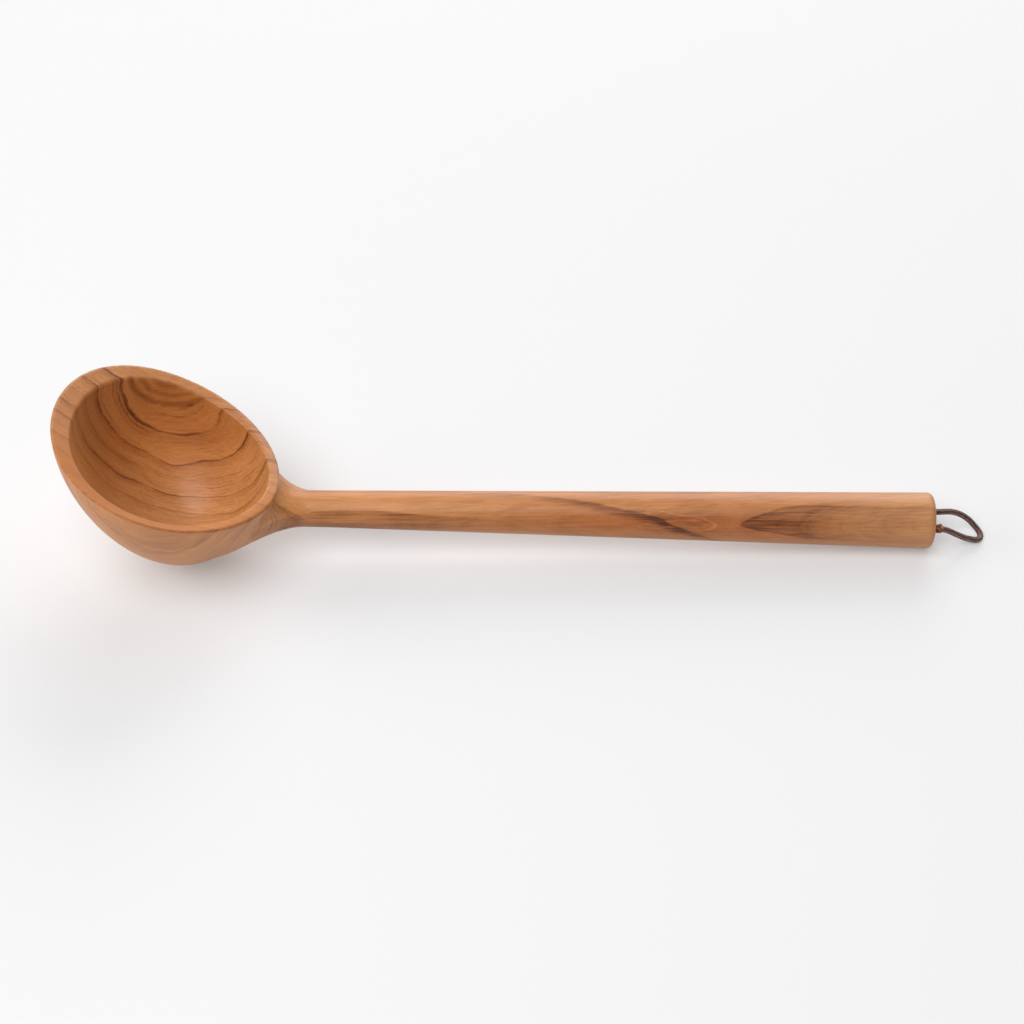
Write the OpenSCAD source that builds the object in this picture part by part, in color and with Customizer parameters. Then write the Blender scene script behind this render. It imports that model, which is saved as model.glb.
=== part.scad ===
// Carved wooden ladle with a leather hanging lace.
// The ladle lies on a table at z = 0: the bowl's bottom and the handle's far end touch it.
// +X runs along the handle to the hanging lace, +Z is up, and the origin is under the middle
// of the wood. All lengths are millimetres.

/* [Ladle] */
// Length of the wood, from the front of the bowl to the end of the handle
ladle_len = 313.5; // [290:0.5:340]

/* [Bowl] */
// Outside diameter of the bowl at its widest
bowl_d = 82; // [75:0.5:90]
// Height above the table at which the bowl is widest
bowl_wide_h = 62; // [56:0.5:68]
// Roundness of the outside: 2 is an ellipse, smaller is more pointed
bowl_round = 1.73; // [1.5:0.01:1.9]
// Lean of the bowl's axis away from the handle, in degrees
bowl_lean = 1.3; // [0:0.1:3]
// Radius of the rim, in its own plane
rim_r = 41.4; // [38:0.1:45]
// Height of the rim's centre above the table
rim_h = 50.4; // [46:0.1:55]
// Distance of the rim's centre from the foot of the bowl's axis, away from the handle
rim_shift = 4.1; // [2:0.1:6]
// How far the rim plane falls towards the handle, in degrees
rim_tilt = 23; // [16:0.1:26]
// Slope of the rim's land into the bowl, in degrees
land_slope = 25; // [15:0.5:35]
// Distance of the land's centre from the rim's centre, towards the handle
land_shift = 1.8; // [0:0.1:3]

/* [Hollow] */
// Inside diameter of the hollow at its widest
hollow_d = 75.8; // [68:0.2:77]
// Height of the hollow's floor above the table
floor_h = 7.2; // [6:0.1:9]
// Height above the table at which the hollow is widest
hollow_wide_h = 57.6; // [52:0.2:60]
// Roundness of the inside: 2 is an ellipse, smaller is more pointed
hollow_round = 1.55; // [1.4:0.01:1.7]
// Distance of the hollow's axis from the bowl's axis, towards the handle
hollow_shift = 2.4; // [0:0.1:3]

/* [Handle] */
// Diameter at the end of the handle
end_d = 20.5; // [17:0.1:24]
// Diameter at the neck, the thinnest place
neck_d = 13.4; // [11:0.1:16]
// Distance from the end of the handle to the neck
neck_at = 226; // [215:1:232]
// Rise of the handle towards the bowl, in degrees
handle_rise = 2.3; // [1.8:0.1:2.8]
// Radius of the rounded edge round the end face
end_round = 2; // [1:0.1:3]

/* [Neck] */
// Length of the flare under the bowl, from the neck
flare_len = 36; // [32:1:40]
// Radius of the flare where it ends inside the bowl
flare_r = 16.5; // [14:0.5:17.5]
// Length of the short flare that carries the rim
crown_len = 22; // [19:1:25]
// Radius of the short flare where it ends inside the bowl
crown_r = 10; // [9:0.5:12]
// Lift of the short flare towards the rim, in degrees
crown_lift = 9.5; // [7:0.5:13]

/* [Lace] */
// Diameter of the leather lace
lace_d = 2.2; // [1.8:0.1:2.3]
// Diameter of the holes that the lace runs through
hole_d = 2.7; // [2.6:0.1:3]
// Distance between the two holes in the end face
hole_pitch = 8.4; // [8:0.2:9]
// Depth below the end face at which the holes start to curve into each other
hole_straight = 9; // [8:0.5:12]
// Diameter of the knot
knot_d = 3.8; // [3.4:0.1:4]

/* [Hidden] */

$fn = 96;
PROFILE_STEPS = 18; // rings in each bowl profile
FLARE_STEPS = 8; // rings in each flare
ROUND_STEPS = 4; // rings in the end face's rounded edge
LACE_SIDES = 8;
RIM_REACH = 6; // how far the rim's cutter reaches past the rim

end_r = end_d / 2;
neck_r = neck_d / 2;
bowl_r = bowl_d / 2;
bowl_x = bowl_r + bowl_wide_h * tan(bowl_lean) - ladle_len / 2;
hollow_x = bowl_x + hollow_shift;
end_x = ladle_len / 2;

// The lace inside the handle, from the far hole mouth round the bend to the near one:
// [out of the end face, away from the near side, up]
inside_route = [
    [0.5, 4.2, 0], [-4.5, 4.2, 0], [-9, 4.2, 0], [-11.1, 3.6, 0], [-12.6, 2.1, 0],
    [-13.2, 0, 0], [-12.6, -2.1, 0], [-11.1, -3.6, 0], [-9, -4.2, 0], [-4.5, -4.2, 0],
    [0, -4.2, 0],
];
// The loop outside: out of the far hole, down to the table and back to the knot
loop_route = [
    [2, 4.2, 0.1], [5.2, 4.5, 0], [8, 4.8, -0.4], [10.6, 4.9, -1.4], [13, 4.9, -3],
    [15.2, 4.8, -5], [17.2, 4.2, -7.2], [18.7, 2.9, -8.6], [19.2, 1.2, -9.1],
    [18.6, -0.5, -9.1], [17.1, -1.5, -8.8], [15, -2, -7.9], [12.8, -2.5, -6.7],
    [10.6, -3.1, -5], [8.4, -3.7, -3.2], [6.2, -4.1, -1.5], [4, -4.2, -0.4],
    [2, -4.2, 0],
];

function unit(v) = v / norm(v);

// Radius of a bowl-shaped solid at height s above its lowest point
function bowl_radius(s, r, h, n) = r * pow(1 - pow(abs(h - s) / h, n), 1 / n);

// Outline of a bowl-shaped solid from its lowest point to above its widest ring
function bowl_outline(r, h, n) = [
    for (i = [0:PROFILE_STEPS])
        let (s = 1.3 * h * pow(i / PROFILE_STEPS, 1.6))
            [bowl_radius(s, r, h, n), s]
];

// Radius along a flare that leaves a rod of radius r0 and grows to r1, with u from 0 to 1
function flare_radius(u, r0, r1) = r0 + (r1 - r0) * u * u * (2.4 - 1.4 * u);

function tangent(route, i) =
    unit(route[min(i + 1, len(route) - 1)] - route[max(i - 1, 0)]);

// One ring of the lace's tube, square to the route. The route's turns stay near one plane,
// whose upward direction is up.
function lace_ring(route, i, up) =
    let (t = tangent(route, i), side = unit(cross(t, up)), top = cross(side, t))
        [for (k = [0:LACE_SIDES - 1])
            let (a = 360 * (k + 0.5) / LACE_SIDES)
                route[i] + lace_d / 2 * (cos(a) * side + sin(a) * top)];

module bowl_solid(x, z, r, h, n) {
    translate([x, 0, z])
        rotate([0, -bowl_lean, 0])
            rotate_extrude()
                polygon(concat(bowl_outline(r, h, n), [[0, 1.3 * h]]));
}

// Children are placed from the middle of the end face, with the model's own axes
module on_end_face() {
    translate([end_x, 0, end_r])
        children();
}

// Children stand on the handle's axis: +Z runs from the end face to the bowl
module on_handle() {
    on_end_face()
        rotate([0, handle_rise - 90, 0])
            children();
}

module handle_rod() {
    rounded_edge = [
        for (i = [0:ROUND_STEPS])
            let (a = 90 * i / ROUND_STEPS)
                [end_r - end_round * (1 - sin(a)), end_round * (1 - cos(a))]
    ];
    rotate_extrude()
        polygon(concat([[0, 0]], rounded_edge,
            [[neck_r, neck_at], [neck_r, neck_at + crown_len], [0, neck_at + crown_len]]));
}

// A trumpet round the handle's axis. Its small end is just inside the rod.
module flare(r, length) {
    r0 = neck_r - 0.05;
    rotate_extrude()
        polygon(concat(
            [for (i = [0:FLARE_STEPS])
                let (u = i / FLARE_STEPS)
                    [flare_radius(u, r0, r), length * u]],
            [[0, length], [0, 0]]));
}

// Above the rim plane, and above the sloping land that leads into the hollow. It reaches past
// the rim, but stops short of the handle.
module rim_cutter() {
    land_depth = rim_r * tan(land_slope);
    translate([bowl_x - rim_shift, 0, rim_h])
        rotate([0, rim_tilt, 0]) {
            cylinder(h = bowl_wide_h, r = rim_r + RIM_REACH);
            translate([land_shift, 0, -land_depth])
                cylinder(h = land_depth, r1 = 0, r2 = rim_r);
        }
}

// Two holes from the end face, joined by a curved channel
module lace_channel() {
    for (side = [-1, 1])
        translate([0, side * hole_pitch / 2, -1])
            cylinder(h = hole_straight + 1, d = hole_d, $fn = 24);
    translate([0, 0, hole_straight])
        rotate([90, 0, 90])
            rotate_extrude(angle = 180)
                translate([hole_pitch / 2, 0])
                    circle(d = hole_d, $fn = 24);
}

module ladle_body() {
    color("peru")
        difference() {
            union() {
                bowl_solid(bowl_x, 0, bowl_r, bowl_wide_h, bowl_round);
                on_handle() {
                    handle_rod();
                    translate([0, 0, neck_at])
                        flare(flare_r, flare_len);
                    translate([0, 0, neck_at])
                        rotate([0, crown_lift, 0])
                            flare(crown_r, crown_len);
                }
            }
            bowl_solid(hollow_x, floor_h, hollow_d / 2, hollow_wide_h - floor_h, hollow_round);
            rim_cutter();
            on_handle()
                lace_channel();
        }
}

// A tube of leather lace along a route
module lace_tube(route, up) {
    count = len(route);
    last = (count - 1) * LACE_SIDES;
    walls = [
        for (i = [0:count - 2], k = [0:LACE_SIDES - 1])
            let (a = i * LACE_SIDES + k, b = i * LACE_SIDES + (k + 1) % LACE_SIDES)
                [a, b, b + LACE_SIDES, a + LACE_SIDES]
    ];
    first_cap = [for (k = [LACE_SIDES - 1:-1:0]) k];
    last_cap = [for (k = [0:LACE_SIDES - 1]) last + k];
    polyhedron(
        points = [for (i = [0:count - 1]) each lace_ring(route, i, up)],
        faces = concat([first_cap], walls, [last_cap]),
        convexity = 6);
}

module lace_inside() {
    color("saddlebrown")
        on_end_face()
            rotate([0, handle_rise, 0])
                lace_tube(inside_route, [0, 0, 1]);
}

module lace_loop() {
    color("saddlebrown")
        on_end_face()
            lace_tube(loop_route, [0.5, 0, 0.9]);
}

// The knot that stops the lace at the near hole, with the lace's cut end standing out of it
module lace_knot() {
    knot_at = loop_route[len(loop_route) - 1];
    color("sienna")
        on_end_face()
            translate(knot_at) {
                sphere(d = knot_d, $fn = 32);
                rotate([60, 30, 0])
                    cylinder(h = knot_d / 2 + 0.3, d = lace_d * 0.65, $fn = 24);
            }
}

ladle_body();
lace_inside();
lace_loop();
lace_knot();
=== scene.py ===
"""A carved wooden ladle with a leather hanging lace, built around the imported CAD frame.

Shapes are worked out in millimetres and turned into metres when a mesh is made. The ladle lies on
the floor at z = 0, with +X along the handle towards the lace.
"""

import math

import bpy
import numpy as np
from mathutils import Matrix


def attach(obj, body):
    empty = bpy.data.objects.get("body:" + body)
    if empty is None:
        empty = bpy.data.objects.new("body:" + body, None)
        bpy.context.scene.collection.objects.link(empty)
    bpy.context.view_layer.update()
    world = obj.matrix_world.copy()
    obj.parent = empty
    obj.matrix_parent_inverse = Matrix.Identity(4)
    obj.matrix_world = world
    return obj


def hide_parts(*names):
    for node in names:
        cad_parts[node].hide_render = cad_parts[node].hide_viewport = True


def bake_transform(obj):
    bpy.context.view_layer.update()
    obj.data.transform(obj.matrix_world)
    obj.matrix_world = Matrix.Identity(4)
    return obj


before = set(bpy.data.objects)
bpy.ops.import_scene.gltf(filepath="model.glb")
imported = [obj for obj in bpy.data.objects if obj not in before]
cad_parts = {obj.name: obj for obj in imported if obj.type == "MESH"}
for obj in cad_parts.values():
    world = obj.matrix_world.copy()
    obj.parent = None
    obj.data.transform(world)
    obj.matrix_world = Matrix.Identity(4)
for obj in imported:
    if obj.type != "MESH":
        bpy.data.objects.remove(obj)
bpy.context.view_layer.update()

MM = 0.001

# ---------------------------------------------------------------- camera, in mm and degrees

CAMERA_LENS = 85
CAMERA_ELEVATION = 45.33
CAMERA_AZIMUTH = -0.71
CAMERA_DISTANCE = 876.7
CAMERA_TARGET = (3.54, 0, 16.6)


def add_camera():
    camera_data = bpy.data.cameras.new("camera")
    camera_data.lens = CAMERA_LENS
    camera_data.clip_start = 0.01
    camera_data.clip_end = 20
    camera = bpy.data.objects.new("camera", camera_data)
    bpy.context.collection.objects.link(camera)
    elevation, azimuth = math.radians(CAMERA_ELEVATION), math.radians(CAMERA_AZIMUTH)
    back = np.array(
        [
            math.sin(azimuth) * math.cos(elevation),
            -math.cos(azimuth) * math.cos(elevation),
            math.sin(elevation),
        ]
    )
    camera.location = (np.array(CAMERA_TARGET) + CAMERA_DISTANCE * back) * MM
    camera.rotation_euler = (math.pi / 2 - elevation, 0, azimuth)
    bpy.context.scene.camera = camera


# ---------------------------------------------------------------- the wood's shape, in mm

BOWL_FOOT = (-113.4, 0, 0)
BOWL_RADIUS, BOWL_HEIGHT, BOWL_ROUND = 40.85, 61.3, 1.728
BOWL_EGG = (0.0097, 0.0205)
HOLLOW_FOOT = (-113.2, 0, 7.03)
HOLLOW_RADIUS, HOLLOW_HEIGHT, HOLLOW_ROUND = 35.8, 52.7, 1.81
HOLLOW_EGG = (0.0006, 0.025)
BOWL_LEAN = 0.048

RIM_CENTRE = (-121.1, 0, 51.55)
RIM_RADIUS = 40.1
RIM_TILT = math.radians(23.1)
LAND_SLOPE = math.radians(18.2)
LAND_EDGE, RIM_EDGE, LIP_EDGE, HOLE_EDGE = 0.5, 0.8, 0.5, 0.3
# The rim cuts the wood only this close to the bowl, in mm past the rim's radius
RIM_REACH = 12

FACE = (156.75, 0, 10.25)
HANDLE_RISE = math.radians(2.3)
END_RADIUS, NECK_RADIUS, NECK_AT = 10.26, 6.68, 220
HANDLE_REACH = 245
END_EDGE = 2.2
NECK_FILLET_TOP, NECK_FILLET_UNDER = 17, 16

HOLE_RADIUS, HOLE_SIDE, HOLE_STRAIGHT = 1.35, 4.2, 9


def round_max(a, b, r):
    """The overlap of two solids, with its edge rounded to radius r."""
    edge = np.hypot(np.maximum(a + r, 0), np.maximum(b + r, 0))
    return np.minimum(np.maximum(a, b), -r) + edge


def round_min(a, b, r):
    """Two solids joined, with a fillet of radius r between them."""
    fillet = np.hypot(np.maximum(r - a, 0), np.maximum(r - b, 0))
    return np.maximum(np.minimum(a, b), r) - fillet


def smooth_step(x, low, high):
    t = np.clip((x - low) / (high - low), 0, 1)
    return t * t * (3 - 2 * t)


def cup(p, foot, radius, height, roundness, egg):
    """Distance from a bowl-shaped solid that stands on foot and is widest at height above it."""
    rise = p[:, 2] - foot[2]
    x = p[:, 0] - foot[0] + BOWL_LEAN * rise
    angle = np.arctan2(p[:, 1], x)
    outline = 1 + egg[0] * np.cos(2 * angle) + egg[1] * np.cos(3 * angle)
    across = np.hypot(x, p[:, 1]) / outline
    gauge = (across / radius) ** roundness + (np.abs(height - rise) / height) ** roundness
    gauge = np.maximum(gauge, 1e-6) ** (1 / roundness)
    return np.hypot(across, rise - height) * (1 - 1 / gauge)


def handle_axes(p):
    """Each point's distance along the handle from its end face, across it, and above it."""
    x, z = FACE[0] - p[:, 0], p[:, 2] - FACE[2]
    along = x * math.cos(HANDLE_RISE) + z * math.sin(HANDLE_RISE)
    above = z * math.cos(HANDLE_RISE) - x * math.sin(HANDLE_RISE)
    return along, p[:, 1], above


def handle(p):
    along, across, above = handle_axes(p)
    taper = np.clip(along / NECK_AT, 0, 1)
    side = np.hypot(across, above) - (END_RADIUS + (NECK_RADIUS - END_RADIUS) * taper)
    side = np.maximum(side, along - HANDLE_REACH)
    return round_max(side, -along, END_EDGE)


def lace_channel(p):
    along, across, above = handle_axes(p)
    straight = np.hypot(np.abs(across) - HOLE_SIDE, above)
    bend = np.hypot(np.hypot(across, along - HOLE_STRAIGHT) - HOLE_SIDE, above)
    return np.where(along < HOLE_STRAIGHT, straight, bend) - HOLE_RADIUS


def below_rim(p):
    x, z = p[:, 0] - RIM_CENTRE[0], p[:, 2] - RIM_CENTRE[2]
    return -x * math.sin(RIM_TILT) - z * math.cos(RIM_TILT)


def above_rim(p):
    """Distance above the rim's sloping land, and above the rim plane outside it."""
    x, z = p[:, 0] - RIM_CENTRE[0], p[:, 2] - RIM_CENTRE[2]
    over = x * math.sin(RIM_TILT) + z * math.cos(RIM_TILT)
    along = x * math.cos(RIM_TILT) - z * math.sin(RIM_TILT)
    inward = RIM_RADIUS - np.hypot(along, p[:, 1])
    land = over * math.cos(LAND_SLOPE) + inward * math.sin(LAND_SLOPE)
    return round_max(over, land, LAND_EDGE)


def wood(p):
    """Signed distance, roughly, from the ladle's surface: negative inside the wood."""
    bowl = cup(p, BOWL_FOOT, BOWL_RADIUS, BOWL_HEIGHT, BOWL_ROUND, BOWL_EGG)
    hollow = cup(p, HOLLOW_FOOT, HOLLOW_RADIUS, HOLLOW_HEIGHT, HOLLOW_ROUND, HOLLOW_EGG)
    above = handle_axes(p)[2]
    top = smooth_step(above, -8, 8)
    fillet = NECK_FILLET_UNDER + (NECK_FILLET_TOP - NECK_FILLET_UNDER) * top
    fillet = fillet * (0.35 + 0.65 * smooth_step(below_rim(p), -1, 9))
    solid = round_min(bowl, handle(p), fillet)
    near_bowl = p[:, 0] < RIM_CENTRE[0] + RIM_RADIUS + RIM_REACH
    rim = np.where(near_bowl, above_rim(p), -50)
    solid = round_max(solid, rim, RIM_EDGE)
    solid = round_max(solid, -hollow, LIP_EDGE)
    return round_max(solid, -lace_channel(p), HOLE_EDGE)


def skin(field, low, high, step):
    """Vertices and quads of the surface where field is zero: one vertex in each grid cell that
    the surface crosses, and one quad round each grid edge that it crosses."""
    grid = [np.arange(low[k], high[k] + step, step) for k in range(3)]
    shape = [len(g) for g in grid]
    slabs = []
    for x in np.array_split(grid[0], 32):
        points = np.stack(np.meshgrid(x, grid[1], grid[2], indexing="ij"), -1)
        slabs.append(field(points.reshape(-1, 3)).reshape(points.shape[:3]))
    value = np.concatenate(slabs)
    total, count = np.zeros((*shape, 3), np.float32), np.zeros(shape, np.int8)
    crossings = []
    for axis in range(3):
        first = [slice(None)] * 3
        second = [slice(None)] * 3
        first[axis], second[axis] = slice(0, -1), slice(1, None)
        a, b = value[tuple(first)], value[tuple(second)]
        at = np.argwhere((a < 0) != (b < 0))
        u, v = (axis + 1) % 3, (axis + 2) % 3
        at = at[(at[:, u] > 0) & (at[:, v] > 0)]
        va, vb = a[tuple(at.T)], b[tuple(at.T)]
        where = at.astype(np.float32)
        where[:, axis] += va / (va - vb)
        cells = []
        for du, dv in ((0, 0), (-1, 0), (-1, -1), (0, -1)):
            cell = at.copy()
            cell[:, u] += du
            cell[:, v] += dv
            np.add.at(total, tuple(cell.T), where)
            np.add.at(count, tuple(cell.T), 1)
            cells.append(cell)
        crossings.append((cells, va < 0))
    used = np.argwhere(count > 0)
    number = np.full(shape, -1, np.int64)
    number[tuple(used.T)] = np.arange(len(used))
    middle = total[tuple(used.T)] / count[tuple(used.T)][:, None]
    vertices = np.array(low) + middle.astype(float) * step
    quads = []
    for cells, leaves in crossings:
        ring = np.stack([number[tuple(c.T)] for c in cells], 1)
        quads.append(np.where(leaves[:, None], ring, ring[:, ::-1]))
    return vertices, np.concatenate(quads)


def gradient(field, p, h=0.02):
    steps = np.eye(3) * h
    return np.stack([(field(p + s) - field(p - s)) / (2 * h) for s in steps], 1)


def settle(field, p, step):
    """Moves points onto the surface where field is zero."""
    for _ in range(5):
        slope = gradient(field, p)
        size = np.maximum((slope**2).sum(1), 1e-6)
        move = -slope * (field(p) / size)[:, None]
        length = np.linalg.norm(move, axis=1, keepdims=True)
        p = p + move * np.minimum(1, step / np.maximum(length, 1e-9))
    return p


# ---------------------------------------------------------------- meshes


def make_mesh(name, points_mm, faces):
    mesh = bpy.data.meshes.new(name)
    faces = [tuple(int(v) for v in face) for face in faces]
    mesh.from_pydata((np.asarray(points_mm) * MM).tolist(), [], faces)
    mesh.validate()
    mesh.update()
    mesh.polygons.foreach_set("use_smooth", [True] * len(mesh.polygons))
    piece = bpy.data.objects.new(name, mesh)
    bpy.context.collection.objects.link(piece)
    return piece


def mark(piece, name, values):
    """A number on each vertex, which a material can read."""
    layer = piece.data.attributes.new(name, "FLOAT", "POINT")
    layer.data.foreach_set("value", np.asarray(values, np.float32))


# The box that holds the wood, and the size of its grid's cells
GRID_LOW, GRID_HIGH = (-160, -43, -3), (160, 43, 70)
GRID_STEP, QUICK_STEP = 0.6, 1.2


def make_ladle():
    step = GRID_STEP
    points, quads = skin(wood, GRID_LOW, GRID_HIGH, step)
    points = settle(wood, points, step)
    piece = make_mesh("ladle", points, quads)
    hollow_gap = cup(points, HOLLOW_FOOT, HOLLOW_RADIUS, HOLLOW_HEIGHT, HOLLOW_ROUND, HOLLOW_EGG)
    hollow = 1 - smooth_step(hollow_gap, 0.2, 0.8)
    on_bowl = points[:, 0] < RIM_CENTRE[0] + RIM_RADIUS + 1
    land = (1 - smooth_step(-above_rim(points), 0.1, 0.5)) * (1 - hollow) * on_bowl
    edge = (1 - smooth_step(below_rim(points), 0.4, 1.6)) * (1 - land) * (1 - hollow) * on_bowl
    mark(piece, "hollow", hollow)
    mark(piece, "land", land)
    mark(piece, "edge", edge)
    return piece


# ---------------------------------------------------------------- the lace, in mm

LACE_RADIUS = 1.1
LACE_STEP = 0.35
TUBE_SIDES = 20
KNOT_RADIUS, STUB_RADIUS, KNOT_SIDES = 0.64, 0.6, 16
# Out of the end face, away from the near side, up: the same points as the CAD route
INSIDE_ROUTE = [
    (0.5, 4.2, 0), (-4.5, 4.2, 0), (-9, 4.2, 0), (-11.1, 3.6, 0), (-12.6, 2.1, 0),
    (-13.2, 0, 0), (-12.6, -2.1, 0), (-11.1, -3.6, 0), (-9, -4.2, 0), (-4.5, -4.2, 0),
    (0, -4.2, 0),
]
LOOP_ROUTE = [
    (2, 4.2, 0.1), (5.2, 4.5, 0), (8, 4.8, -0.4), (10.6, 4.9, -1.4), (13, 4.9, -3),
    (15.2, 4.8, -5), (17.2, 4.2, -7.2), (18.7, 2.9, -8.6), (19.2, 1.2, -9.1),
    (18.6, -0.5, -9.1), (17.1, -1.5, -8.8), (15, -2, -7.9), (12.8, -2.5, -6.7),
    (10.6, -3.1, -5), (8.4, -3.7, -3.2), (6.2, -4.1, -1.5), (4, -4.2, -0.4),
    (2, -4.2, 0),
]


def smooth_path(points, per_span=12):
    """A Catmull-Rom curve through points."""
    p = np.array(points, float)
    p = np.vstack([2 * p[0] - p[1], p, 2 * p[-1] - p[-2]])
    t = np.linspace(0, 1, per_span, endpoint=False)[:, None]
    path = []
    for a, b, c, d in zip(p, p[1:], p[2:], p[3:]):
        path.append(
            b + 0.5 * t * (c - a + t * (2 * a - 5 * b + 4 * c - d + t * (3 * (b - c) + d - a)))
        )
    return np.vstack([*path, p[-2]])


def even_path(path, spacing):
    """The same line with points a given distance apart."""
    lengths = np.r_[0, np.cumsum(np.linalg.norm(np.diff(path, axis=0), axis=1))]
    at = np.linspace(0, lengths[-1], max(2, int(round(lengths[-1] / spacing)) + 1))
    return np.stack([np.interp(at, lengths, path[:, k]) for k in range(3)], 1)


def tube(path, radius, sides=TUBE_SIDES):
    """Points and faces of a closed tube along path."""
    tangents = np.gradient(path, axis=0)
    tangents /= np.linalg.norm(tangents, axis=1, keepdims=True)
    side = np.cross(tangents[0], (0.3, 0.1, 1))
    rings = []
    angles = np.arange(sides) * 2 * math.pi / sides
    cosines, sines = np.cos(angles)[:, None], np.sin(angles)[:, None]
    for centre, tangent in zip(path, tangents):
        side = side - tangent * (side @ tangent)
        side /= np.linalg.norm(side)
        up = np.cross(side, tangent)
        rings.append(centre + radius * (cosines * side + sines * up))
    points = np.vstack(rings)
    faces = []
    for i in range(len(path) - 1):
        for k in range(sides):
            a, b = i * sides + k, i * sides + (k + 1) % sides
            faces.append((a, a + sides, b + sides, b))
    faces.append(tuple(range(sides)))
    faces.append(tuple(reversed(range(len(points) - sides, len(points)))))
    return points, faces


def from_face(points):
    return np.array(points, float) + np.array(FACE)


def inside_handle(points):
    """Route points inside the handle, turned to the handle's own axis."""
    p = np.array(points, float)
    rise = np.sin(HANDLE_RISE) * -p[:, 0]
    return from_face(np.stack([p[:, 0] * np.cos(HANDLE_RISE), p[:, 1], p[:, 2] + rise], 1))


def wrap_tube(piece, path, sides=TUBE_SIDES):
    """A UV map along the tube in mm, and round it from 0 to 1."""
    lengths = np.r_[0, np.cumsum(np.linalg.norm(np.diff(path, axis=0), axis=1))]
    layer = piece.data.uv_layers.new(name="UVMap")
    for polygon in piece.data.polygons:
        corners = [piece.data.loops[k].vertex_index for k in polygon.loop_indices]
        turns = [v % sides for v in corners]
        for k, v, turn in zip(polygon.loop_indices, corners, turns):
            if len(corners) == 4 and max(turns) - min(turns) > 1 and turn == 0:
                turn = sides
            layer.data[k].uv = (lengths[v // sides], turn / sides)


def make_lace():
    route = np.vstack([inside_handle(INSIDE_ROUTE[::-1]), from_face(LOOP_ROUTE)])
    path = even_path(smooth_path(route), LACE_STEP)
    points, faces = tube(path, LACE_RADIUS)
    piece = make_mesh("lace", points, faces)
    wrap_tube(piece, path)
    return piece, path


def make_knot():
    """The lace tied round itself against the end face, with its cut end standing out."""
    centre = np.array([2.05, -4.15, 0])
    axis = np.array([1, -0.05, -0.28])
    axis /= np.linalg.norm(axis)
    side = np.cross(axis, (0, 0, 1))
    side /= np.linalg.norm(side)
    up = np.cross(side, axis)
    turn = np.linspace(0, 4 * math.pi, 140)[:, None]
    reach = 0.92 + 0.36 * np.cos(1.5 * turn)
    path = centre + 0.85 * np.sin(1.5 * turn) * axis
    path = path + reach * (np.cos(turn) * side + np.sin(turn) * up)
    loops, loop_faces = tube(from_face(path), KNOT_RADIUS, KNOT_SIDES)
    away = np.array([-0.15, -0.8, 0.42])
    end = centre + np.linspace(0.5, 2.5, 12)[:, None] * away
    end = end + (0.2 * np.linspace(0, 1, 12) ** 2)[:, None] * np.array([-1, 0, 0.3])
    stub, stub_faces = tube(from_face(end), STUB_RADIUS, KNOT_SIDES)
    faces = loop_faces + [tuple(v + len(loops) for v in face) for face in stub_faces]
    return make_mesh("knot", np.vstack([loops, stub]), faces)


# ---------------------------------------------------------------- material helpers


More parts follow.
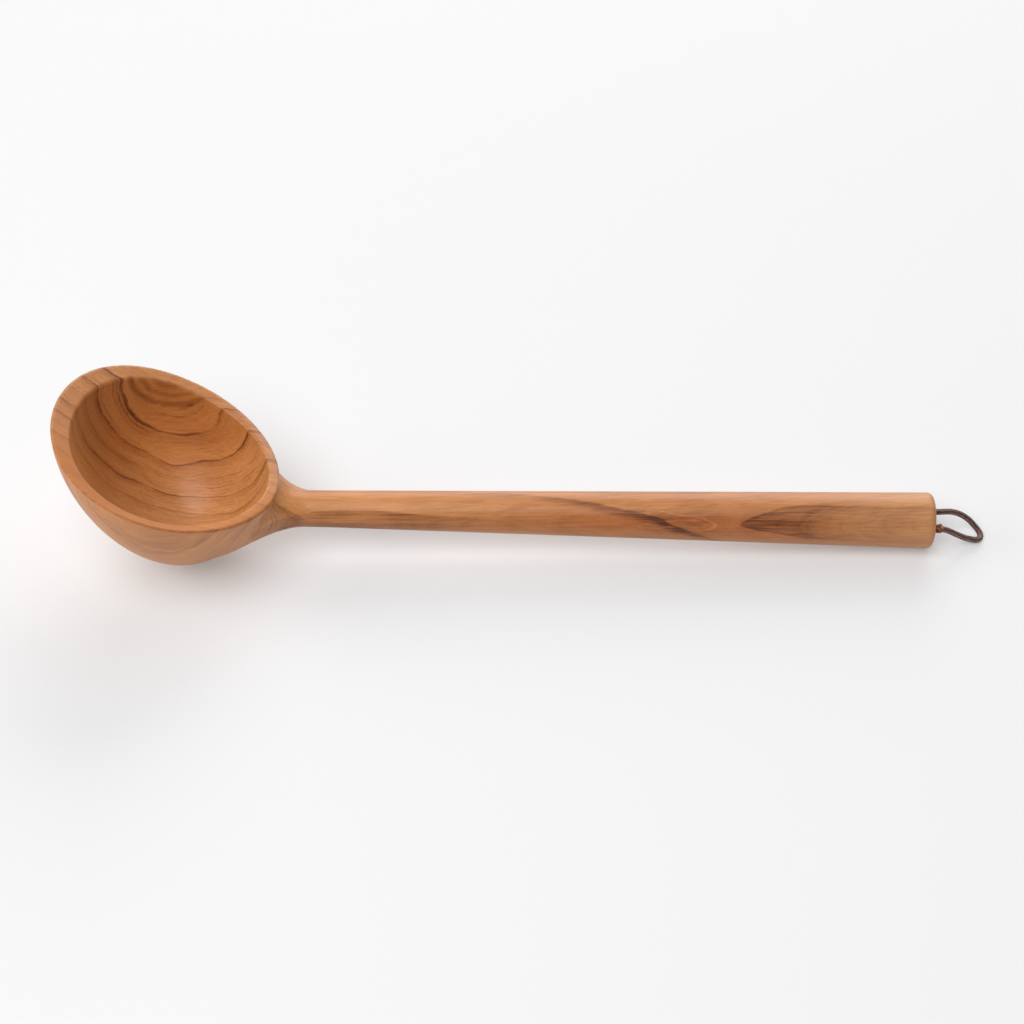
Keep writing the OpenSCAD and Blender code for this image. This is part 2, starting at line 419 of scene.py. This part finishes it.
class Sheet:
    """One material, and short ways to add nodes to it. A value may be a number or a socket."""

    def __init__(self, name):
        self.material = bpy.data.materials.new(name)
        self.material.use_nodes = True
        self.shader = self.material.node_tree.nodes["Principled BSDF"]

    def node(self, kind, inputs, output=0, **settings):
        made = self.material.node_tree.nodes.new("ShaderNode" + kind)
        for key, value in settings.items():
            setattr(made, key, value)
        for key, value in inputs.items():
            if isinstance(value, bpy.types.NodeSocket):
                self.material.node_tree.links.new(value, made.inputs[key])
            else:
                made.inputs[key].default_value = value
        return made.outputs[output]

    def math(self, operation, *values):
        return self.node("Math", dict(enumerate(values)), operation=operation)

    def add(self, *values):
        total = values[0]
        for value in values[1:]:
            total = self.math("ADD", total, value)
        return total

    def times(self, *values):
        total = values[0]
        for value in values[1:]:
            total = self.math("MULTIPLY", total, value)
        return total

    def less(self, a, b):
        return self.math("SUBTRACT", a, b)

    def fade(self, value, start, end):
        """0 at start and 1 at end, smoothly; start may be the larger."""
        low, high = min(start, end), max(start, end)
        to = (0, 1) if start < end else (1, 0)
        return self.node(
            "MapRange",
            {0: value, 1: low, 2: high, 3: to[0], 4: to[1]},
            interpolation_type="SMOOTHSTEP",
        )

    def curve(self, value, points):
        """A smooth curve through (value, result) points."""
        xs, ys = [p[0] for p in points], [p[1] for p in points]
        low, high = min(ys), max(ys)
        made = self.material.node_tree.nodes.new("ShaderNodeFloatCurve")
        line = made.mapping.curves[0]
        while len(line.points) < len(points):
            line.points.new(0.5, 0.5)
        for point, x, y in zip(line.points, xs, ys):
            point.location = ((x - xs[0]) / (xs[-1] - xs[0]), (y - low) / (high - low))
        made.mapping.update()
        at = self.node("MapRange", {0: value, 1: xs[0], 2: xs[-1]})
        self.material.node_tree.links.new(at, made.inputs["Value"])
        return self.node("MapRange", {0: made.outputs[0], 3: low, 4: high})

    def noise(self, vector, scale, detail=2, roughness=0.5):
        """Noise about 0, between roughly -0.5 and 0.5."""
        inputs = {"Vector": vector, "Scale": scale, "Detail": detail, "Roughness": roughness}
        return self.less(self.node("TexNoise", inputs), 0.5)

    def vector(self, x, y, z):
        return self.node("CombineXYZ", {0: x, 1: y, 2: z})

    def colours(self, value, stops):
        made = self.node("ValToRGB", {"Fac": value})
        ramp = made.node.color_ramp
        while len(ramp.elements) < len(stops):
            ramp.elements.new(0.5)
        for element, (at, colour) in zip(ramp.elements, stops):
            element.position = at
            element.color = (*colour, 1)
        return made

    def blend(self, amount, a, b, how="MIX"):
        inputs = {"Factor": amount, "A": a, "B": b}
        made = self.material.node_tree.nodes.new("ShaderNodeMix")
        made.data_type = "RGBA"
        made.blend_type = how
        for socket in made.inputs:
            if socket.type in ("RGBA", "VALUE") and socket.name in inputs and socket.enabled:
                value = inputs[socket.name]
                if isinstance(value, bpy.types.NodeSocket):
                    self.material.node_tree.links.new(value, socket)
                else:
                    socket.default_value = value if socket.type == "VALUE" else (*value, 1)
        return next(s for s in made.outputs if s.enabled)

    def finish(self, colour, roughness, height, depth_mm):
        """Links colour, roughness and a bump whose full height is depth_mm."""
        links = self.material.node_tree.links
        links.new(colour, self.shader.inputs["Base Color"])
        links.new(roughness, self.shader.inputs["Roughness"])
        bump = self.node("Bump", {"Strength": 1.0, "Distance": depth_mm * MM, "Height": height})
        links.new(bump, self.shader.inputs["Normal"])
        return self.material


# ---------------------------------------------------------------- the wood's grain, with painted shade and highlights

# The pith lies above and behind the bowl and drops towards the lace end
PITH_X, PITH_Y, PITH_Z = -115, 63.6, 36
PITH_SIDE_SLOPE, PITH_DROP = 0.005, 0.302
# A small notch in the rings, low on the far wall, and the middle of the arcs under the far rim
NOTCH = (-121, 20, 20)
ARC_X, ARC_Z = -118, 57
MARKS = ("hollow", "land", "edge")
# (distance from the pith in mm, number of the growth line there), and how dark the lines are
RING_AT = [(17, 0.2), (27, 1.45), (32, 1.62), (36.1, 2), (43.2, 3), (48.9, 4), (55.3, 5),
           (61.6, 6), (71.5, 7), (79, 8), (87, 9), (97, 10), (105, 11), (119, 13)]
RING_DARK = [(17, 0.4), (32, 0.5), (36.1, 0.8), (43.2, 0.8), (48.9, 0.3), (55.3, 0.7),
             (61.6, 0.35), (71.5, 0.35), (87, 0.3), (119, 0.3)]

WOOD_TONES = [
    (0.0, (0.05, 0.014, 0.005)),
    (0.25, (0.18, 0.055, 0.014)),
    (0.5, (0.39, 0.14, 0.039)),
    (0.75, (0.58, 0.24, 0.08)),
    (1.0, (0.74, 0.36, 0.14)),
]


def ring_radius(s, x, y, z):
    """Distance from the pith in mm, with a slow waver, fine jags and a notch."""
    waver = s.times(s.noise(s.vector(s.times(x, 0.25), y, z), 0.06, 2), 3.2)
    jags = s.times(s.noise(s.vector(s.times(x, 0.45), y, z), 0.33, 3, 0.6), 1.1)
    past = s.less(x, PITH_X)
    from_pith_y = s.less(y, s.add(PITH_Y, s.times(past, PITH_SIDE_SLOPE)))
    from_pith_z = s.less(z, s.less(PITH_Z, s.times(past, PITH_DROP)))
    radius = s.math(
        "SQRT", s.add(s.times(from_pith_y, from_pith_y), s.times(from_pith_z, from_pith_z))
    )
    notch = s.times(s.fade(far_from(s, x, y, z, NOTCH), 13, 0), 2)
    return s.less(s.add(radius, waver, jags), notch)


def wood_colour(s, tone, x, y, hollow, near_land_highlight, pale, warm):
    colour = s.colours(tone, WOOD_TONES)
    colour = s.blend(s.times(pale, 0.3), colour, (0.5, 0.3, 0.16))
    colour = s.blend(warm, colour, (0.8, 0.6, 0.44), "MULTIPLY")

    # Painted shade darkens the far and left walls of the hollow, and a painted highlight turns the
    # near land golden
    wall_shade = s.math("MINIMUM", 1, s.add(s.fade(y, 6, 30), s.times(s.fade(x, -126, -146), 0.55)))
    colour = s.blend(s.times(hollow, wall_shade), colour, (0.86, 0.7, 0.5), "MULTIPLY")
    colour = s.blend(hollow, colour, (1, 1.09, 1.1), "MULTIPLY")
    colour = s.blend(s.times(near_land_highlight, 0.36), colour, (0.82, 0.38, 0.11))
    return s.blend(near_land_highlight, colour, (0.8, 0.6, 0.32), "MULTIPLY")


def wood_material():
    s = Sheet("oiled_wood")
    place = s.node("TexCoord", {}, output=3)
    mm = s.node("VectorMath", {0: place, 3: 1000}, operation="SCALE")
    split = s.node("SeparateXYZ", {0: mm}).node.outputs
    x, y, z = split[0], split[1], split[2]

    radius = ring_radius(s, x, y, z)
    rings = ring_darkness(s, radius, x, y, z)
    figure, pale, warm = handle_figure(s, x, y, z)

    # Fibres and pores, stretched along the grain
    fibres = s.noise(s.vector(s.times(x, 0.06), y, z), 1.1, 4, 0.65)
    hairs = s.noise(s.vector(s.times(x, 0.035), y, z), 3.4, 2, 0.6)
    bands = s.noise(s.vector(s.times(x, 0.08), s.times(radius, 0.5), 0), 0.7, 3, 0.6)
    layers = s.noise(s.vector(s.times(x, 0.05), s.times(radius, 1.5), s.times(y, 0.06)), 1.2, 3, 0.65)
    patches = s.noise(s.vector(s.times(x, 0.4), y, z), 0.05, 2)
    pores = s.noise(s.vector(s.times(x, 0.16), y, z), 2.4, 2, 0.5)
    clusters = s.noise(s.vector(s.times(x, 0.25), y, z), 0.4, 2)
    pores = s.times(s.fade(pores, 0.13, 0.24), s.fade(clusters, -0.1, 0.15))

    tone = s.add(
        0.7,
        s.times(fibres, 0.34),
        s.times(hairs, 0.24),
        s.times(bands, 0.3),
        s.times(layers, 0.26),
        s.times(patches, 0.26),
        s.times(pale, 0.12),
    )
    hollow, land, edge = (s.node("Attribute", {}, 2, attribute_name=n) for n in MARKS)
    arcs = s.times(far_wall_arcs(s, x, y, z), hollow)
    near_side = s.fade(y, 8, -25)
    edge_line = s.times(edge, s.add(0.16, s.times(near_side, 0.14)))
    marks = s.add(s.times(pores, 0.18), edge_line, s.times(land, 0.06))
    tone = s.less(tone, s.add(rings, figure, arcs, marks))
    # Painted light: the near side of the hollow, which faces the lights from behind, is lightened;
    # the bowl's outer wall, short of its left side, is lightened a little too
    outside = s.times(s.less(1, s.add(hollow, land)), s.fade(x, -66, -76), s.fade(x, -150, -135))
    lit_near_hollow = s.times(hollow, s.fade(y, 12, -15))
    tone = s.add(tone, s.times(s.add(outside, lit_near_hollow), 0.05))
    # Painted highlight: the rim's land on the near side, where the lights from behind catch it
    near_land_highlight = s.times(land, near_side)
    colour = wood_colour(s, tone, x, y, hollow, near_land_highlight, pale, warm)

    rough = s.add(0.53, s.times(fibres, 0.16), s.times(pores, 0.15), s.times(near_land_highlight, 0.2))
    height = s.less(s.times(fibres, 0.5), s.add(s.times(pores, 0.6), s.times(rings, 0.15)))
    s.shader.inputs["Specular IOR Level"].default_value = 0.36
    s.shader.inputs["Coat Weight"].default_value = 0.2
    s.shader.inputs["Coat Roughness"].default_value = 0.35
    return s.finish(colour, rough, height, 0.07)


def far_from(s, x, y, z, point):
    """Distance in mm from a point."""
    offsets = [s.less(value, at) for value, at in zip((x, y, z), point)]
    return s.math("SQRT", s.add(*[s.times(offset, offset) for offset in offsets]))


def far_wall_arcs(s, x, y, z):
    """Growth lines close in small arcs where they meet the far wall of the hollow at a low angle."""
    waver = s.times(s.noise(s.vector(s.times(x, 0.4), y, z), 0.25, 3), 2.4)
    across, up = s.less(x, ARC_X), s.less(z, ARC_Z)
    size = s.math("SQRT", s.add(s.times(across, across), s.times(up, up)))
    size = s.add(size, waver)
    outer = s.fade(s.math("ABSOLUTE", s.less(size, 16.2)), 1.6, 0.2)
    inner = s.fade(s.math("ABSOLUTE", s.less(size, 12.6)), 1.5, 0.3)
    core = s.fade(size, 11, 9)
    dark = s.add(s.times(outer, 0.24), s.times(inner, 0.14), s.times(core, 0.16))
    return s.times(dark, s.fade(y, 22, 28), s.fade(x, -103, -113))


def ring_darkness(s, radius, x, y, z):
    count = s.curve(radius, RING_AT)
    phase = s.math("FRACT", count)
    to_line = s.math("MINIMUM", phase, s.less(1, phase))
    vary = s.noise(s.vector(s.times(x, 0.5), y, z), 0.12, 2)
    line = s.fade(s.less(to_line, s.times(vary, 0.12)), 0.06, 0.015)
    soft = s.fade(phase, 0.42, 0.0)
    second = s.fade(s.math("ABSOLUTE", s.less(phase, 0.27)), 0.05, 0)
    third = s.fade(s.math("ABSOLUTE", s.less(phase, 0.14)), 0.04, 0)
    second = s.times(s.add(s.times(second, 0.6), third), s.fade(vary, -0.12, 0.12))
    strength = s.curve(radius, RING_DARK)
    strength = s.times(strength, s.add(1, s.times(vary, 2.2)))
    on_handle = s.fade(x, -78, -55)
    strength = s.times(strength, s.less(1, s.times(on_handle, 0.75)))
    dark = s.add(s.times(line, 0.34), s.times(soft, 0.16), s.times(second, 0.13))
    # Narrow growth between the dark lines shows as broken threads
    thread = s.math("SINE", s.times(radius, 5.6))
    broken = s.noise(s.vector(s.times(x, 0.1), s.times(radius, 0.7), s.times(z, 0.2)), 0.45, 3, 0.7)
    thread = s.times(s.fade(thread, 0.3, 1), s.fade(broken, 0.0, 0.2), 0.17)
    near_neck = s.times(s.fade(x, -102, -90), s.fade(x, -70, -80))
    thread = s.times(thread, s.less(1, s.times(on_handle, 0.6)), s.add(1, near_neck))
    return s.add(s.times(dark, strength), thread)


# The handle's figure: (x in mm, degrees round the handle from its top towards the near side)
VEIN = [(-60, -75), (-23, -26), (13, -4), (32, 20), (41, 33), (55, 53), (63, 76), (69, 91),
        (80, 125), (95, 165)]
VEIN_DARK = [(-60, 0), (-23, 0.3), (13, 0.5), (32, 0.8), (45, 1), (62, 1), (72, 0.6), (95, 0)]
NECK_STREAK = [(-90, 78), (-73, 65), (-53, 49), (-37, 55), (-26, 59), (10, 66), (40, 76)]
NECK_STREAK_DARK = [(-90, 0), (-75, 0.6), (-55, 0.7), (-36, 1), (-22, 0.6), (0, 0.25), (40, 0)]
FLAME_TOP = [(85, 66), (87, 55), (92, 41), (100, 26), (108, 19), (120, 17), (160, 17)]
FLAME_FOOT = [(85, 66), (88, 71), (97, 80), (109, 95), (120, 100), (160, 104)]
# Painted shade on the handle's underside: (x in mm, how dark)
UNDER_SHADE = [
    (-90, 0), (-65, 0.3), (-45, 0.32), (-20, 0.04), (10, 0), (45, 0.1), (90, 0.05), (160, 0.05)
]
FLAME_DARK = [(84, 0), (86, 0.85), (97, 0.62), (108, 0.5), (120, 0.4), (135, 0.34), (160, 0.25)]


def handle_figure(s, x, y, z):
    """Darkness of the veins on the handle with painted shade under it and along it, how pale its end
    is, and where it turns orange.
    """
    rise = math.tan(HANDLE_RISE)
    above = s.less(s.less(z, FACE[2]), s.times(s.less(FACE[0], x), rise))
    angle = s.math("ARCTAN2", s.times(y, -1), above)
    degrees = s.times(angle, 180 / math.pi)
    waver = s.noise(s.vector(s.times(x, 0.07), y, z), 0.5, 3, 0.6)
    degrees = s.add(degrees, s.times(waver, 13))
    streaks = s.noise(s.vector(s.times(x, 0.05), y, z), 1.3, 3, 0.6)

    off = s.less(degrees, s.curve(x, VEIN))
    vein = s.times(s.fade(off, -7, -1), s.fade(off, 24, 3), s.curve(x, VEIN_DARK))
    vein = s.times(vein, s.add(0.36, s.times(streaks, 0.7)))

    off = s.less(degrees, s.curve(x, NECK_STREAK))
    streak = s.times(s.fade(off, -5, 0), s.fade(off, 62, 3), s.curve(x, NECK_STREAK_DARK))
    streak = s.times(streak, s.add(0.3, s.times(streaks, 0.8)))

    below_top = s.less(degrees, s.curve(x, FLAME_TOP))
    above_foot = s.less(s.curve(x, FLAME_FOOT), degrees)
    inside = s.times(s.fade(below_top, -1, 2), s.fade(above_foot, -1, 2), s.fade(x, 84, 87))
    flame = s.times(inside, s.curve(x, FLAME_DARK), s.add(0.4, s.times(streaks, 1.5)))
    edge = s.times(s.fade(s.math("ABSOLUTE", below_top), 5, 0), s.fade(x, 86, 96))
    foot = s.times(s.fade(s.math("ABSOLUTE", above_foot), 4, 0), s.fade(x, 135, 90))
    edges = s.times(s.add(s.times(edge, 0.14), s.times(foot, 0.08)), s.fade(x, 84, 88))

    # Pale threads that close in a point just before the flame
    off = s.less(degrees, 67)
    nested = s.less(s.less(77.4, x), s.times(off, off, 0.02))
    tip = s.times(s.fade(nested, -0.6, 0.6), s.fade(x, 35, 58), s.fade(off, 25, 10))
    rind = s.times(s.fade(nested, 2.2, 0.8), -0.18)
    threads = s.times(s.noise(s.vector(s.times(x, 0.07), y, z), 2.6, 2), 0.75)
    core = s.times(s.fade(nested, 3, 9), 0.07)
    tip = s.times(tip, s.add(rind, threads, core))

    # Painted shade on the handle's underside, strongest near the neck
    under_shade = s.times(s.fade(degrees, 72, 115), s.curve(x, UNDER_SHADE))
    shade = s.times(s.fade(x, -10, 40), 0.08)
    pale = s.times(s.fade(x, 100, 150), 0.7)
    off = s.math("ABSOLUTE", s.less(degrees, 66))
    warm = s.times(s.fade(off, 44, 12), s.fade(x, -15, 35), s.fade(x, 128, 90))
    warm = s.times(warm, s.add(0.8, s.times(streaks, 0.9)))
    return s.add(vein, streak, flame, edges, tip, under_shade, shade), pale, warm


GROOVES = 6


def leather_material():
    s = Sheet("dark_leather")
    uv = s.node("UVMap", {}, uv_map="UVMap")
    split = s.node("SeparateXYZ", {0: uv}).node.outputs
    along, around = split[0], split[1]
    turn = s.times(around, 2 * math.pi)
    wrap = s.vector(s.times(along, 0.22), s.math("COSINE", turn), s.math("SINE", turn))
    streaks = s.noise(wrap, 3.2, 4, 0.65)
    grain = s.noise(s.vector(s.times(along, 2), s.math("COSINE", turn), s.math("SINE", turn)), 4, 3)
    drift = s.times(s.noise(s.vector(s.times(along, 0.12), 0, 0), 1, 2), 4)
    grooves = s.math("SINE", s.add(s.times(turn, GROOVES), drift))
    tone = s.add(0.55, s.times(streaks, 1.4), s.times(grain, 0.4), s.times(grooves, 0.12))
    colour = s.colours(
        tone,
        [(0.25, (0.02, 0.008, 0.006)), (0.5, (0.075, 0.027, 0.019)), (0.75, (0.29, 0.16, 0.13))],
    )
    rough = s.add(0.48, s.times(grain, 0.2))
    height = s.add(streaks, s.times(grain, 0.6), s.times(grooves, 0.3))
    return s.finish(colour, rough, height, 0.14)


def knot_material():
    s = Sheet("worn_leather_knot")
    place = s.node("TexCoord", {}, output=3)
    mm = s.node("VectorMath", {0: place, 3: 1000}, operation="SCALE")
    spots = s.noise(mm, 0.9, 2)
    grain = s.noise(mm, 4, 3, 0.6)
    tone = s.add(0.5, s.times(spots, 1.3), s.times(grain, 0.5))
    colour = s.colours(
        tone,
        [(0.25, (0.03, 0.01, 0.006)), (0.48, (0.27, 0.08, 0.03)), (0.8, (0.56, 0.23, 0.09))],
    )
    return s.finish(colour, s.add(0.55, s.times(grain, 0.2)), s.add(spots, grain), 0.12)


# ---------------------------------------------------------------- stage


# Half the floor's width in metres, and its paper
FLOOR_HALF = 3
FLOOR_COLOUR, FLOOR_GLOW = (0.57, 0.57, 0.575, 1), 0.23


def add_floor():
    mesh = bpy.data.meshes.new("floor")
    signs = ((-1, -1), (1, -1), (1, 1), (-1, 1))
    corners = [(FLOOR_HALF * x, FLOOR_HALF * y, 0) for x, y in signs]
    mesh.from_pydata(corners, [], [(0, 1, 2, 3)])
    floor = bpy.data.objects.new("floor", mesh)
    bpy.context.collection.objects.link(floor)
    paper = Sheet("floor_paper")
    paper.shader.inputs["Base Color"].default_value = FLOOR_COLOUR
    paper.shader.inputs["Emission Color"].default_value = (1, 1, 1, 1)
    paper.shader.inputs["Emission Strength"].default_value = FLOOR_GLOW
    paper.shader.inputs["Roughness"].default_value = 0.9
    mesh.materials.append(paper.material)


# Round softboxes: degrees round from +X, degrees above the horizon, watts
SOFTBOXES = {
    "back": (80, 28, 20),
    "back_right": (45, 45, 6),
    "left": (180, 25, 11),
    "front": (235, 60, 27),
}
# Their distance and size, in metres
SOFTBOX_AWAY, SOFTBOX_SIZE = 1.8, 1.4
AMBIENT = 0.08


def add_softbox(name, around, above, watts):
    data = bpy.data.lights.new(name, "AREA")
    data.shape = "DISK"
    data.size = SOFTBOX_SIZE
    data.energy = watts
    light = bpy.data.objects.new(name, data)
    around, above = math.radians(around), math.radians(above)
    light.location = (
        SOFTBOX_AWAY * math.cos(above) * math.cos(around),
        SOFTBOX_AWAY * math.cos(above) * math.sin(around),
        SOFTBOX_AWAY * math.sin(above),
    )
    light.rotation_euler = (math.pi / 2 - above, 0, math.pi / 2 + around)
    bpy.context.collection.objects.link(light)


def add_lights():
    for name, (around, above, watts) in SOFTBOXES.items():
        add_softbox(name, around, above, watts)
    world = bpy.data.worlds.new("world")
    bpy.context.scene.world = world
    world.use_nodes = True
    world.node_tree.nodes["Background"].inputs["Color"].default_value = (1, 1, 1, 1)
    world.node_tree.nodes["Background"].inputs["Strength"].default_value = AMBIENT


# ---------------------------------------------------------------- build

bpy.context.scene.view_settings.view_transform = "Standard"

add_camera()
add_floor()
add_lights()

oiled_wood = wood_material()
dark_leather = leather_material()
knot_leather = knot_material()

ladle = make_ladle()
ladle.data.materials.append(oiled_wood)
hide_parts("ladle_body")
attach(ladle, "ladle")

lace, lace_path = make_lace()
lace.data.materials.append(dark_leather)
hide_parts("lace_inside", "lace_loop")
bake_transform(lace)

knot = make_knot()
knot.data.materials.append(knot_leather)
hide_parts("lace_knot")
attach(knot, "loop")
